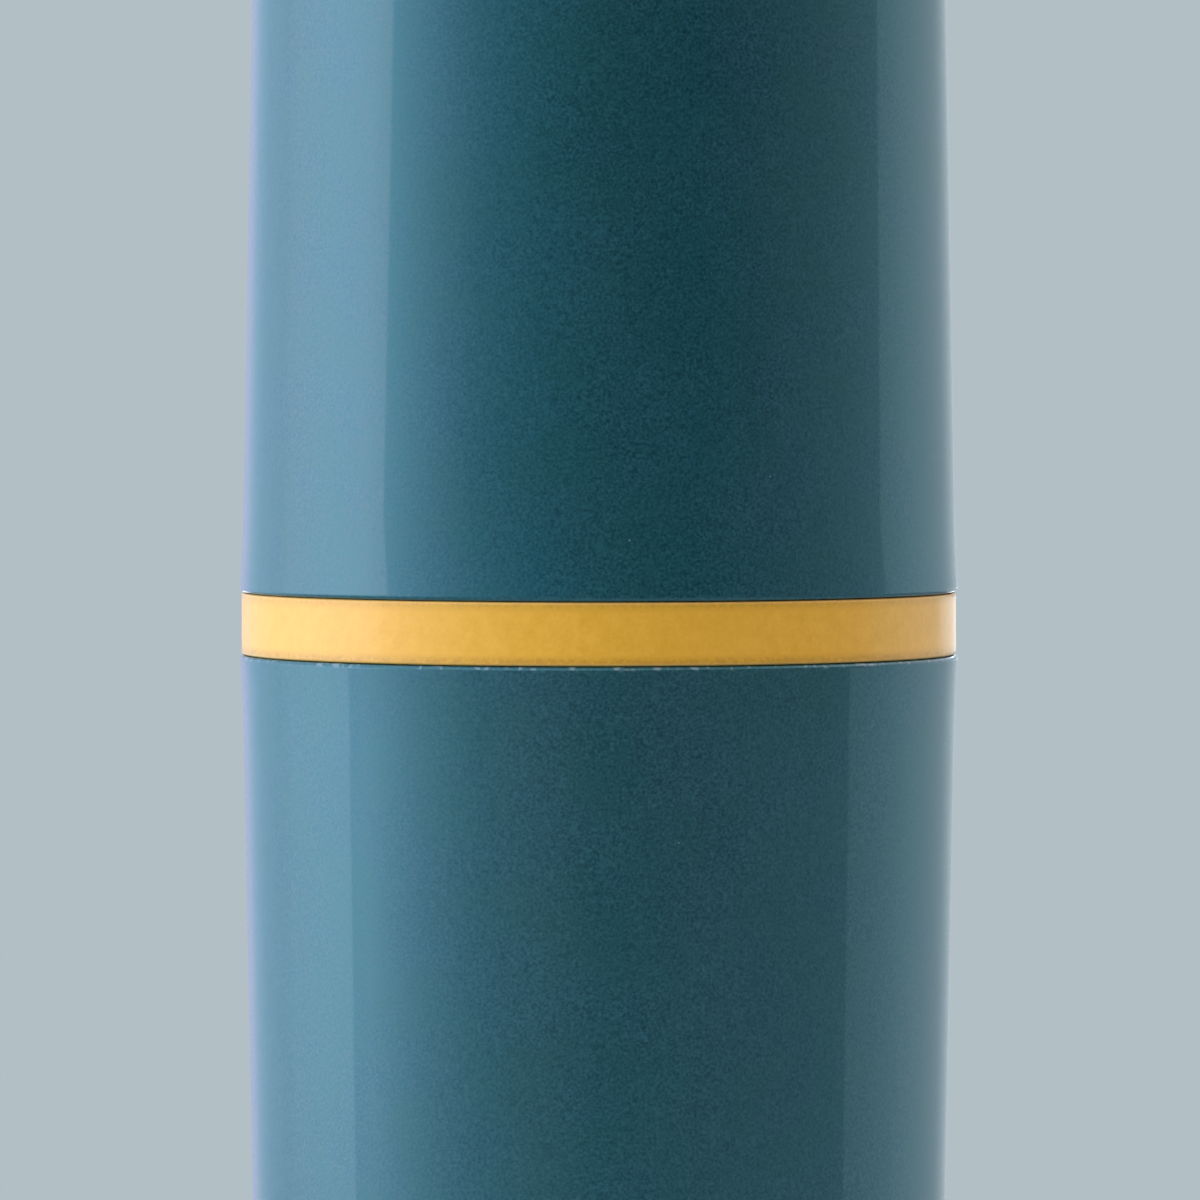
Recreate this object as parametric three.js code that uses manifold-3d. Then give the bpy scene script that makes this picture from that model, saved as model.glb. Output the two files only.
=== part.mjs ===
// A travel toothbrush mug. Two tapered cups meet mouth to mouth on the two necks of a yellow collar,
// whose band shows as a stripe between them. Each neck carries a silicone seal, each cup has a silicone
// foot ring in its closed end, and a caddy with a brush rack and a drip tray hangs in the collar.
// Millimetres, +Z up, with the origin in the middle of the surface that the mug stands on.

import * as THREE from "three";
import { mergeVertices } from "three/addons/utils/BufferGeometryUtils.js";
import Module from "manifold-3d";

const wasm = await Module();
wasm.setup();

// Fits. Every seat is left open by the first, every sliding or turning fit by one of the others.
const SEAT_GAP = 0.3;
const NECK_CLEARANCE = 0.4;
const SEAL_CLEARANCE = 0.12;
const TRAY_CLEARANCE = 0.8;
const CUT_OVERRUN = 1;

// Cups
const MOUTH_RADIUS = 35;
const LOWER_CUP_HEIGHT = 103.2;
const UPPER_CUP_HEIGHT = 95.2;
const CUP_DRAFT_DEGREES = 1.05;
const CUP_WALL = 2.4;
const BASE_WALL = 3.4;
const BASE_ROUND = 4;
const FLOOR_ROUND = 5;
const LIP_FLARE = 0.2;
const LIP_LENGTH = 8;
const RIM_ROUND = 0.6;
const RIM_CHAMFER = 0.5;
const SOCKET_WALL = 2.2;
const BASE_RECESS_MARGIN = 2.7;
const BASE_RECESS_DEPTH = 0.7;

// Silicone foot rings
const FOOT_MARGIN = 1.4;
const FOOT_WIDTH = 4.4;
const FOOT_PROUD = 0.8;
const FOOT_SEAT_DEPTH = 1.5;
const FOOT_ROUND = 0.7;

// Collar
const BAND_HEIGHT = 6;
const BAND_INSET = 0.2;
const BAND_ROUND = 0.45;
const NECK_HEIGHT = 11;
const NECK_WALL = 2.4;
const NECK_CHAMFER = 0.7;
const LEDGE_WIDTH = 2.6;
const LEDGE_THICKNESS = 2.2;
const LEDGE_DROP = 3;
const KEY_WIDTH = 3;
const KEY_DEPTH = 1.3;
const KEY_HEIGHT = 5;
const KEY_ANGLES = [0, 180];

// Silicone seals, in a groove round each neck
const SEAL_WIDTH = 3;
const SEAL_GROOVE_DEPTH = 1.2;
const SEAL_LIP_DEPTH = 0.4;
const SEAL_NECK_MARGIN = 3;

// Brush rack
const RACK_THICKNESS = 2.2;
const GUIDE_WALL = 1.2;
const GUIDE_HEIGHT = 7;
const GUIDE_LIP = 0.5;
const GUIDE_MARGIN = 1.8;
const BRUSH_HOLE_ANGLES = [22, 158];
const PASTE_SLOT_ANGLES = [-132, -48];
const COMB_SLOT_WIDTH = 6.4;
const COMB_SLOT_ANGLES = [70, 110];

// Caddy post and its pull knob
const POST_RADIUS = 3.5;
const POST_SHOULDER_RADIUS = 5.8;
const POST_SHOULDER_HEIGHT = 2.4;
const POST_END_CHAMFER = 0.5;
const KNOB_HEIGHT = 18;
const KNOB_RADIUS = 6.4;
const KNOB_WAIST_RADIUS = 5.3;
const KNOB_BORE_DEPTH = 9;

// Drip tray
const TRAY_FLOOR = 1.8;
const TRAY_RIM_HEIGHT = 6;
const TRAY_RIM_WALL = 1.5;
const TRAY_RIM_SLOPE = 0.8;
const TRAY_BOSS_RADIUS = 6;
const TRAY_BOSS_HEIGHT = 8;
const TRAY_BOSS_FLOOR = 1;
const TRAY_FOOT_MARGIN = 0.3;
const TRAY_FOOT_HEIGHT = 3;
const TRAY_FOOT_COUNT = 4;
const DRAIN_SLOT_WIDTH = 2.4;
const DRAIN_RING_SHARES = [
  { count: 6, outShare: 0.27, openShare: 0.62, turnShare: 0 },
  { count: 8, outShare: 0.545, openShare: 0.66, turnShare: 0.5 },
  { count: 12, outShare: 0.82, openShare: 0.6, turnShare: 0 },
];

// Facets round a full turn
const CUP_SEGMENTS = 48;
const POST_SEGMENTS = 24;
const FOOT_SEGMENTS = 12;

// Radii that follow from the fits
const CUP_TAPER = Math.tan(THREE.MathUtils.degToRad(CUP_DRAFT_DEGREES));
const SOCKET_RADIUS = MOUTH_RADIUS - SOCKET_WALL;
const NECK_RADIUS = SOCKET_RADIUS - NECK_CLEARANCE;
const NECK_BORE_RADIUS = NECK_RADIUS - NECK_WALL;
const LEDGE_RADIUS = NECK_BORE_RADIUS - LEDGE_WIDTH;
const RACK_RADIUS = NECK_BORE_RADIUS - SEAT_GAP;
const RACK_OPENING_RADIUS = (LEDGE_RADIUS + KNOB_RADIUS) / 2;
const RACK_OPENING_WIDTH = LEDGE_RADIUS - KNOB_RADIUS - 2 * (GUIDE_WALL + GUIDE_MARGIN);
const TRAY_RADIUS = LEDGE_RADIUS - TRAY_CLEARANCE;
const TRAY_FLOOR_RADIUS = TRAY_RADIUS - TRAY_RIM_WALL - TRAY_RIM_SLOPE;
const SLENDEREST_BASE_RADIUS = cupRadius(Math.max(LOWER_CUP_HEIGHT, UPPER_CUP_HEIGHT) - BASE_ROUND);
const FOOT_RADIUS = SLENDEREST_BASE_RADIUS - BASE_ROUND - FOOT_MARGIN - FOOT_WIDTH / 2;
const BASE_RECESS_RADIUS = FOOT_RADIUS - FOOT_WIDTH / 2 - BASE_RECESS_MARGIN;

// Levels that follow from the stack
const LOWER_BASE_Z = FOOT_PROUD;
const LOWER_MOUTH_Z = LOWER_BASE_Z + LOWER_CUP_HEIGHT;
const BAND_BOTTOM_Z = LOWER_MOUTH_Z + SEAT_GAP;
const BAND_TOP_Z = BAND_BOTTOM_Z + BAND_HEIGHT;
const UPPER_MOUTH_Z = BAND_TOP_Z + SEAT_GAP;
const UPPER_BASE_Z = UPPER_MOUTH_Z + UPPER_CUP_HEIGHT;
const RACK_Z = BAND_TOP_Z - LEDGE_DROP + SEAT_GAP;
const TRAY_Z = LOWER_BASE_Z + BASE_WALL + SEAT_GAP + TRAY_FOOT_HEIGHT;

const MATERIALS = {
  teal: new THREE.MeshStandardMaterial({ color: 0x2f6474, roughness: 0.48, metalness: 0 }),
  yellow: new THREE.MeshStandardMaterial({ color: 0xdba63c, roughness: 0.4, metalness: 0 }),
  silicone: new THREE.MeshStandardMaterial({ color: 0xd9dcd8, roughness: 0.6, metalness: 0 }),
  footing: new THREE.MeshStandardMaterial({ color: 0x27474f, roughness: 0.75, metalness: 0 }),
  white: new THREE.MeshStandardMaterial({ color: 0xe6e3da, roughness: 0.5, metalness: 0 }),
};

// Points on an arc, both ends included, about a centre given as [radius, height].
function arc([centreRadius, centreHeight], radius, fromDegrees, toDegrees, steps) {
  return Array.from({ length: steps + 1 }, (_, step) => {
    const degrees = fromDegrees + ((toDegrees - fromDegrees) * step) / steps;
    const angle = THREE.MathUtils.degToRad(degrees);
    return [centreRadius + radius * Math.cos(angle), centreHeight + radius * Math.sin(angle)];
  });
}

// An outline of [radius, height] points turned about Z, counter-clockwise with the solid on its left.
function turned(points, segments) {
  const outline = points.map(([radius, height]) => new THREE.Vector2(radius, height));
  return new THREE.LatheGeometry(outline, segments).rotateX(Math.PI / 2);
}

// A ring: the outline closes on itself.
function turnedRing(points, segments) {
  return turned([...points, points[0]], segments);
}

// A flat shape raised from one height to another.
function raised(shape, fromHeight, toHeight, curveSegments) {
  const options = { depth: toHeight - fromHeight, bevelEnabled: false, curveSegments };
  return new THREE.ExtrudeGeometry(shape, options).translate(0, 0, fromHeight);
}

function solidFrom(geometry) {
  const bare = geometry.clone();
  bare.deleteAttribute("normal");
  bare.deleteAttribute("uv");
  const merged = mergeVertices(bare);
  return new wasm.Manifold(
    new wasm.Mesh({
      numProp: 3,
      vertProperties: new Float32Array(merged.attributes.position.array),
      triVerts: new Uint32Array(merged.index.array),
    }),
  );
}

function geometryFrom(solid) {
  const mesh = solid.getMesh();
  const geometry = new THREE.BufferGeometry();
  geometry.setAttribute("position", new THREE.BufferAttribute(mesh.vertProperties, 3));
  geometry.setIndex(new THREE.BufferAttribute(mesh.triVerts, 1));
  geometry.computeVertexNormals();
  return geometry;
}

// Joins the added geometries and then takes the cut ones away.
function joinedAndCut(added, cuts) {
  const whole = added.map(solidFrom).reduce((sum, solid) => sum.add(solid));
  return geometryFrom(cuts.map(solidFrom).reduce((rest, cut) => rest.subtract(cut), whole));
}

// The flat [x, y] place at a distance from the axis and an angle round it.
function placeAt(radius, angle) {
  return [radius * Math.cos(angle), radius * Math.sin(angle)];
}

// A slot bent along an arc about the axis, with round ends.
function bentSlot(midRadius, halfWidth, fromDegrees, toDegrees) {
  const from = THREE.MathUtils.degToRad(fromDegrees);
  const to = THREE.MathUtils.degToRad(toDegrees);
  return new THREE.Shape()
    .absarc(0, 0, midRadius + halfWidth, from, to, false)
    .absarc(...placeAt(midRadius, to), halfWidth, to, to + Math.PI, false)
    .absarc(0, 0, midRadius - halfWidth, to, from, true)
    .absarc(...placeAt(midRadius, from), halfWidth, from + Math.PI, from + 2 * Math.PI, false);
}

function disc(radius, centreRadius = 0, degrees = 0) {
  const centre = placeAt(centreRadius, THREE.MathUtils.degToRad(degrees));
  return new THREE.Shape().absarc(...centre, radius, 0, 2 * Math.PI, false);
}

// The outer radius of a cup, at a distance from its mouth: a straight taper with a lip that flares out.
function cupRadius(fromMouth) {
  const alongLip = Math.min(fromMouth / LIP_LENGTH, 1);
  return MOUTH_RADIUS - fromMouth * CUP_TAPER - LIP_FLARE * (1 - (1 - alongLip) ** 2);
}

// A cup standing on its closed end, mouth up: foot ring groove and recess below, socket for a neck above.
function cup(height) {
  const baseRadius = cupRadius(height - BASE_ROUND);
  const floorRadius = cupRadius(height - BASE_WALL - FLOOR_ROUND) - CUP_WALL;
  const grooveIn = FOOT_RADIUS - FOOT_WIDTH / 2 - SEAT_GAP;
  const grooveOut = FOOT_RADIUS + FOOT_WIDTH / 2 + SEAT_GAP;
  const neckEnd = height + SEAT_GAP - NECK_HEIGHT;
  const socketFloor = neckEnd - SEAT_GAP;
  const lipShares = [1, 0.6, 0.3];
  return turned(
    [
      [0, BASE_RECESS_DEPTH],
      [BASE_RECESS_RADIUS, BASE_RECESS_DEPTH],
      [BASE_RECESS_RADIUS + BASE_RECESS_DEPTH, 0],
      [grooveIn, 0],
      [grooveIn, FOOT_SEAT_DEPTH],
      [grooveOut, FOOT_SEAT_DEPTH],
      [grooveOut, 0],
      ...arc([baseRadius - BASE_ROUND, BASE_ROUND], BASE_ROUND, -90, 0, 4),
      ...lipShares.map((share) => [cupRadius(share * LIP_LENGTH), height - share * LIP_LENGTH]),
      ...arc([cupRadius(RIM_ROUND) - RIM_ROUND, height - RIM_ROUND], RIM_ROUND, 0, 90, 3),
      [SOCKET_RADIUS + RIM_CHAMFER, height],
      [SOCKET_RADIUS, height - RIM_CHAMFER],
      [SOCKET_RADIUS, socketFloor],
      [cupRadius(height - socketFloor) - CUP_WALL, socketFloor],
      ...arc([floorRadius - FLOOR_ROUND, BASE_WALL + FLOOR_ROUND], FLOOR_ROUND, 0, -90, 3),
      [0, BASE_WALL],
    ],
    CUP_SEGMENTS,
  );
}

// A silicone ring that stands proud of the groove in a cup's closed end, its proud edges rounded off.
function footRing() {
  const inner = FOOT_RADIUS - FOOT_WIDTH / 2;
  const outer = FOOT_RADIUS + FOOT_WIDTH / 2;
  const top = FOOT_PROUD + FOOT_SEAT_DEPTH - SEAT_GAP;
  return turnedRing(
    [
      [inner + FOOT_ROUND, 0],
      [outer - FOOT_ROUND, 0],
      [outer, FOOT_ROUND],
      [outer, top],
      [inner, top],
      [inner, FOOT_ROUND],
    ],
    CUP_SEGMENTS,
  );
}

// The middle of a seal groove, as a distance from the band along its neck.
function sealFromBand() {
  return NECK_HEIGHT - SEAL_NECK_MARGIN - SEAL_WIDTH / 2 - SEAT_GAP;
}

// One neck's outline from the band to its end, on its outside, as distances from the band.
function neckOutside() {
  const grooveBottom = NECK_RADIUS - SEAL_GROOVE_DEPTH;
  const grooveHalf = SEAL_WIDTH / 2 + SEAT_GAP;
  return [
    [NECK_RADIUS, 0],
    [NECK_RADIUS, sealFromBand() - grooveHalf],
    [grooveBottom, sealFromBand() - grooveHalf],
    [grooveBottom, sealFromBand() + grooveHalf],
    [NECK_RADIUS, sealFromBand() + grooveHalf],
    [NECK_RADIUS, NECK_HEIGHT - NECK_CHAMFER],
    [NECK_RADIUS - NECK_CHAMFER, NECK_HEIGHT],
  ];
}

// The collar: a band with a neck above and below, a ledge inside for the rack, and two keys over the ledge.
function collar() {
  const bandRadius = MOUTH_RADIUS - BAND_INSET;
  const ledgeTop = BAND_HEIGHT - LEDGE_DROP;
  const below = neckOutside().map(([radius, along]) => [radius, -along]);
  const above = neckOutside().map(([radius, along]) => [radius, BAND_HEIGHT + along]);
  const ring = turnedRing(
    [
      ...below.reverse(),
      ...arc([bandRadius - BAND_ROUND, BAND_ROUND], BAND_ROUND, -90, 0, 2),
      ...arc([bandRadius - BAND_ROUND, BAND_HEIGHT - BAND_ROUND], BAND_ROUND, 0, 90, 2),
      ...above,
      [NECK_BORE_RADIUS, BAND_HEIGHT + NECK_HEIGHT],
      [NECK_BORE_RADIUS, ledgeTop],
      [LEDGE_RADIUS, ledgeTop],
      [LEDGE_RADIUS, ledgeTop - LEDGE_THICKNESS],
      [NECK_BORE_RADIUS, ledgeTop - LEDGE_THICKNESS - LEDGE_WIDTH],
      [NECK_BORE_RADIUS, -NECK_HEIGHT],
    ],
    CUP_SEGMENTS,
  );
  const keys = KEY_ANGLES.map((degrees) => keyRib(KEY_DEPTH, KEY_WIDTH, ledgeTop, KEY_HEIGHT, degrees));
  return joinedAndCut([ring, ...keys], []);
}

// A rib on the collar's bore, or the notch for it. It reaches in by a depth, from inside the neck's wall.
function keyRib(depth, width, fromHeight, height, degrees) {
  const length = depth + NECK_WALL / 2;
  return new THREE.BoxGeometry(length, width, height)
    .translate(NECK_BORE_RADIUS - depth + length / 2, 0, fromHeight + height / 2)
    .rotateZ(THREE.MathUtils.degToRad(degrees));
}

// A seal: flat inside, where it sits in the groove, with two lips that bear on the cup's socket.
function seal() {
  const inner = NECK_RADIUS - SEAL_GROOVE_DEPTH + SEAT_GAP;
  const outer = SOCKET_RADIUS - SEAL_CLEARANCE;
  const half = SEAL_WIDTH / 2;
  const outsideShares = [[-1, 1], [-0.5, 0], [0, 1], [0.5, 0], [1, 1]];
  return turnedRing(
    [
      [inner, -half],
      ...outsideShares.map(([along, sunk]) => [outer - sunk * SEAL_LIP_DEPTH, along * half]),
      [inner, half],
    ],
    CUP_SEGMENTS,
  );
}

// The openings of the rack, each as a pair of flat shapes: the opening itself and the outside of its guide.
function rackOpenings() {
  const brushHoles = BRUSH_HOLE_ANGLES.map((degrees) =>
    [0, GUIDE_WALL].map((wall) => disc(RACK_OPENING_WIDTH / 2 + wall, RACK_OPENING_RADIUS, degrees)),
  );
  const slots = [
    [RACK_OPENING_WIDTH, PASTE_SLOT_ANGLES],
    [COMB_SLOT_WIDTH, COMB_SLOT_ANGLES],
  ].map(([width, [from, to]]) =>
    [0, GUIDE_WALL].map((wall) => bentSlot(RACK_OPENING_RADIUS, width / 2 + wall, from, to)),
  );
  return [...brushHoles, ...slots];
}

// The rack: a plate on the collar's ledge, with a notch over each key. Each opening has a guide below
// the plate, whose lip stands a little above it.
function brushRack() {
  const steps = 10;
  const plate = turned(
    [
      [0, 0],
      [RACK_RADIUS, 0],
      [RACK_RADIUS, RACK_THICKNESS],
      [0, RACK_THICKNESS],
    ],
    CUP_SEGMENTS,
  );
  const lipTop = RACK_THICKNESS + GUIDE_LIP;
  const cutTop = lipTop + CUT_OVERRUN;
  const cutBottom = -GUIDE_HEIGHT - CUT_OVERRUN;
  const guides = rackOpenings().map(([, outside]) => raised(outside, -GUIDE_HEIGHT, lipTop, steps));
  const openings = rackOpenings().map(([opening]) => raised(opening, cutBottom, cutTop, steps));
  const postHole = raised(disc(POST_RADIUS + SEAT_GAP), -CUT_OVERRUN, cutTop, steps);
  const notchDepth = KEY_DEPTH + SEAT_GAP;
  const notchWidth = KEY_WIDTH + 2 * SEAT_GAP;
  const notches = KEY_ANGLES.map((degrees) =>
    keyRib(notchDepth, notchWidth, -CUT_OVERRUN, cutTop + CUT_OVERRUN, degrees),
  );
  return joinedAndCut([plate, ...guides], [...openings, postHole, ...notches]);
}

// The post runs from inside the tray's boss to inside the knob, with a shoulder that carries the rack.
function caddyPost() {
  const bottom = TRAY_Z + TRAY_BOSS_FLOOR + SEAT_GAP;
  const shoulderTop = RACK_Z - SEAT_GAP;
  const knobBottom = RACK_Z + RACK_THICKNESS + SEAT_GAP;
  const top = knobBottom + KNOB_BORE_DEPTH - SEAT_GAP;
  return turned(
    [
      [0, bottom],
      [POST_RADIUS - POST_END_CHAMFER, bottom],
      [POST_RADIUS, bottom + POST_END_CHAMFER],
      [POST_RADIUS, shoulderTop - POST_SHOULDER_HEIGHT - (POST_SHOULDER_RADIUS - POST_RADIUS)],
      [POST_SHOULDER_RADIUS, shoulderTop - POST_SHOULDER_HEIGHT],
      [POST_SHOULDER_RADIUS, shoulderTop],
      [POST_RADIUS, shoulderTop],
      [POST_RADIUS, top - POST_END_CHAMFER],
      [POST_RADIUS - POST_END_CHAMFER, top],
      [0, top],
    ],
    POST_SEGMENTS,
  );
}

// The knob: a waisted grip with a domed head and a blind bore for the post.
function pullKnob() {
  const bore = POST_RADIUS + SEAT_GAP;
  const gripShares = [
    [0, 0],
    [0.12, 0.55],
    [0.3, 1],
    [0.48, 0.8],
    [0.62, 0.3],
    [0.74, 0],
    [0.86, 0.25],
  ];
  const waistDepth = KNOB_RADIUS - KNOB_WAIST_RADIUS;
  const domeShares = [
    [0.78, 0.95],
    [0.45, 0.99],
  ];
  return turned(
    [
      [0, KNOB_BORE_DEPTH],
      [bore, KNOB_BORE_DEPTH],
      [bore, 0],
      ...gripShares.map(([up, sunk]) => [KNOB_RADIUS - sunk * waistDepth, up * KNOB_HEIGHT]),
      ...domeShares.map(([out, up]) => [out * KNOB_RADIUS, up * KNOB_HEIGHT]),
      [0, KNOB_HEIGHT],
    ],
    POST_SEGMENTS,
  );
}

// The tray: a rimmed dish with a boss for the post and rings of bent drain slots. Its feet stand on the
// land between the outer ring of slots and the rim.
function dripTray() {
  const boreRadius = POST_RADIUS + SEAT_GAP;
  const dish = turned(
    [
      [0, 0],
      [TRAY_RADIUS - TRAY_RIM_SLOPE, 0],
      [TRAY_RADIUS, TRAY_RIM_HEIGHT],
      [TRAY_RADIUS - TRAY_RIM_WALL, TRAY_RIM_HEIGHT],
      [TRAY_FLOOR_RADIUS, TRAY_FLOOR],
      [TRAY_BOSS_RADIUS, TRAY_FLOOR],
      [TRAY_BOSS_RADIUS, TRAY_FLOOR + TRAY_BOSS_HEIGHT],
      [boreRadius, TRAY_FLOOR + TRAY_BOSS_HEIGHT],
      [boreRadius, TRAY_BOSS_FLOOR],
      [0, TRAY_BOSS_FLOOR],
    ],
    CUP_SEGMENTS,
  );
  const landInside = drainRingRadius(DRAIN_RING_SHARES.at(-1)) + DRAIN_SLOT_WIDTH / 2;
  const landOutside = TRAY_RADIUS - TRAY_RIM_SLOPE;
  const footRadius = (landOutside - landInside) / 2 - TRAY_FOOT_MARGIN;
  const footLength = TRAY_FOOT_HEIGHT + TRAY_FLOOR / 2;
  const feet = Array.from({ length: TRAY_FOOT_COUNT }, (_, index) =>
    new THREE.CylinderGeometry(footRadius, footRadius, footLength, FOOT_SEGMENTS)
      .rotateX(Math.PI / 2)
      .translate((landInside + landOutside) / 2, 0, footLength / 2 - TRAY_FOOT_HEIGHT)
      .rotateZ(((index + 0.5) * 2 * Math.PI) / TRAY_FOOT_COUNT),
  );
  return joinedAndCut([dish, ...feet], drainSlots());
}

// A ring of drain slots lies at its share of the way out from the boss to the tray's rim.
function drainRingRadius({ outShare }) {
  return TRAY_BOSS_RADIUS + outShare * (TRAY_FLOOR_RADIUS - TRAY_BOSS_RADIUS);
}

// Every ring's slots divide its circle evenly, and each slot opens its share of its place.
function drainSlots() {
  const steps = 2;
  return DRAIN_RING_SHARES.flatMap((ring) =>
    Array.from({ length: ring.count }, (_, index) => {
      const pitch = 360 / ring.count;
      const middle = (index + ring.turnShare) * pitch;
      const halfOpen = (pitch * ring.openShare) / 2;
      const [from, to] = [middle - halfOpen, middle + halfOpen];
      const slot = bentSlot(drainRingRadius(ring), DRAIN_SLOT_WIDTH / 2, from, to);
      return raised(slot, -CUT_OVERRUN, TRAY_FLOOR + CUT_OVERRUN, steps);
    }),
  );
}

function named(name, geometry, material, height, upsideDown = false) {
  const mesh = new THREE.Mesh(geometry, material);
  mesh.name = name;
  mesh.position.z = height;
  mesh.rotation.x = upsideDown ? Math.PI : 0;
  return mesh;
}

const mug = new THREE.Group();
mug.add(
  named("lower_cup", cup(LOWER_CUP_HEIGHT), MATERIALS.teal, LOWER_BASE_Z),
  named("lower_foot_ring", footRing(), MATERIALS.footing, 0),
  named("collar", collar(), MATERIALS.yellow, BAND_BOTTOM_Z),
  named("lower_seal", seal(), MATERIALS.silicone, BAND_BOTTOM_Z - sealFromBand()),
  named("upper_seal", seal(), MATERIALS.silicone, BAND_TOP_Z + sealFromBand()),
  named("upper_cup", cup(UPPER_CUP_HEIGHT), MATERIALS.teal, UPPER_BASE_Z, true),
  named("upper_foot_ring", footRing(), MATERIALS.footing, UPPER_BASE_Z + FOOT_PROUD, true),
  named("brush_rack", brushRack(), MATERIALS.white, RACK_Z),
  named("caddy_post", caddyPost(), MATERIALS.white, 0),
  named("pull_knob", pullKnob(), MATERIALS.yellow, RACK_Z + RACK_THICKNESS + SEAT_GAP),
  named("drip_tray", dripTray(), MATERIALS.white, TRAY_Z),
);

export default mug;
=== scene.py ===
# A travel toothbrush mug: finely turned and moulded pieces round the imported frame, with their finishes,
# in a plain soft studio. Metres, +Z up, the mug's axis on Z.
import math

import bpy
import numpy as np
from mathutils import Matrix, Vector
from mathutils.geometry import tessellate_polygon


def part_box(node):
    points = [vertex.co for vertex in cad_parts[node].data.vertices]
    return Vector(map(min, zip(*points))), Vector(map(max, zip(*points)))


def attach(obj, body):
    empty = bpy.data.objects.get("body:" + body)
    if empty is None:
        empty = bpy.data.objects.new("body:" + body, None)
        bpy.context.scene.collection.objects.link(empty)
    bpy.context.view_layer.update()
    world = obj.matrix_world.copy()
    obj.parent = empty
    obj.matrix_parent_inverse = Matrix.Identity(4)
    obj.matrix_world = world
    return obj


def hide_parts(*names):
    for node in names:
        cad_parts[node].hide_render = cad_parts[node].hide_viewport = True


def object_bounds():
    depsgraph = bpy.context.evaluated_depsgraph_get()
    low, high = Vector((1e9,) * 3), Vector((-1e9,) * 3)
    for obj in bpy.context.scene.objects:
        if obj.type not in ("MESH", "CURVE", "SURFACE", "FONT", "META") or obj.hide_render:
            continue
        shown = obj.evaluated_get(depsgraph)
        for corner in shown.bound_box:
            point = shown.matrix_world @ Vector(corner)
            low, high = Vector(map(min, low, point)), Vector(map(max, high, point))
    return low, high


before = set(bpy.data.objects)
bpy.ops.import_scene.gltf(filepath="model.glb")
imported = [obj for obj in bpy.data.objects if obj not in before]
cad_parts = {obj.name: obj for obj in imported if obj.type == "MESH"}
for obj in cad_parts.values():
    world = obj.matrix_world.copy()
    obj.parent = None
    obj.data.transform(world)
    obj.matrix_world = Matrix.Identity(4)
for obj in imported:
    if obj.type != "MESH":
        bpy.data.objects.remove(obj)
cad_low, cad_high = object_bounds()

# Levels and sizes that the frame gives
lower_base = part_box("lower_cup")[0].z
upper_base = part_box("upper_cup")[1].z
collar_low, collar_high = (corner.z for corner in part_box("collar"))
lower_seal_low, lower_seal_high = (corner.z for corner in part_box("lower_seal"))
upper_seal_low, upper_seal_high = (corner.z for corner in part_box("upper_seal"))
foot_low, foot_high = (corner.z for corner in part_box("lower_foot_ring"))
rack_lip_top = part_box("brush_rack")[1].z
post_low, post_high = (corner.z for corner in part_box("caddy_post"))
knob_low, knob_high = (corner.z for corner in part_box("pull_knob"))
tray_foot_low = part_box("drip_tray")[0].z
band_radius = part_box("collar")[1].x
seal_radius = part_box("lower_seal")[1].x
foot_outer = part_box("lower_foot_ring")[1].x
rack_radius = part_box("brush_rack")[1].y
shoulder_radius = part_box("caddy_post")[1].x
knob_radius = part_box("pull_knob")[1].x
tray_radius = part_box("drip_tray")[1].x

# Sizes that the pieces add, in metres and degrees
SEAT_GAP = 0.0003
MOUTH_RADIUS = 0.035
CUP_DRAFT_DEGREES = 1.05
CUP_WALL = 0.0024
BASE_WALL = 0.0034
BASE_ROUND = 0.004
FLOOR_ROUND = 0.005
LIP_FLARE = 0.0002
LIP_LENGTH = 0.008
LOWER_RIM_ROUND = 0.0004
UPPER_RIM_ROUND = 0.0007
JOINT = 0.00006
SOCKET_ROUND = 0.0005
SOCKET_WALL = 0.0022
BASE_RECESS_MARGIN = 0.0027
BASE_RECESS_DEPTH = 0.0007
GATE_RADIUS = 0.0019
GATE_DEPTH = 0.00035
FOOT_WIDTH = 0.0044
FOOT_SEAT_DEPTH = 0.0015
FOOT_ROUND = 0.0007
BAND_ROUND = 0.00025
BAND_SKIN_DEPTH = 0.0004
NECK_CLEARANCE = 0.0004
NECK_HEIGHT = 0.011
NECK_WALL = 0.0024
NECK_CHAMFER = 0.0007
LEDGE_WIDTH = 0.0026
LEDGE_THICKNESS = 0.0022
LEDGE_DROP = 0.003
KEY_WIDTH = 0.003
KEY_DEPTH = 0.0013
KEY_HEIGHT = 0.005
SEAL_GROOVE_DEPTH = 0.0012
SEAL_LIP_DEPTH = 0.0004
EDGE_ROUND = 0.0002
RACK_THICKNESS = 0.0022
GUIDE_WALL = 0.0012
GUIDE_HEIGHT = 0.007
GUIDE_LIP = 0.0005
GUIDE_MARGIN = 0.0018
BRUSH_HOLE_ANGLES = (22, 158)
PASTE_SLOT_ANGLES = (-132, -48)
COMB_SLOT_WIDTH = 0.0064
COMB_SLOT_ANGLES = (70, 110)
POST_RADIUS = 0.0035
POST_SHOULDER_HEIGHT = 0.0024
POST_END_CHAMFER = 0.0005
KNOB_WAIST_DEPTH = 0.0011
KNOB_BORE_DEPTH = 0.009
KNOB_FURROW_DEPTH = 0.00018
KNOB_FURROW_WIDTH = 0.00035
TRAY_FLOOR = 0.0018
TRAY_FOOT_HEIGHT = 0.003
TRAY_FOOT_MARGIN = 0.0003
TRAY_FOOT_ANGLES = (45, 135, 225, 315)
TRAY_RIM_HEIGHT = 0.006
TRAY_RIM_WALL = 0.0015
TRAY_RIM_SLOPE = 0.0008
TRAY_BOSS_RADIUS = 0.006
TRAY_BOSS_HEIGHT = 0.008
TRAY_BOSS_FLOOR = 0.001
TRAY_BOSS_ROOT = 0.0012
TRAY_FLOOR_STEP = 0.0001
DRAIN_SLOT_WIDTH = 0.0024

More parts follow.
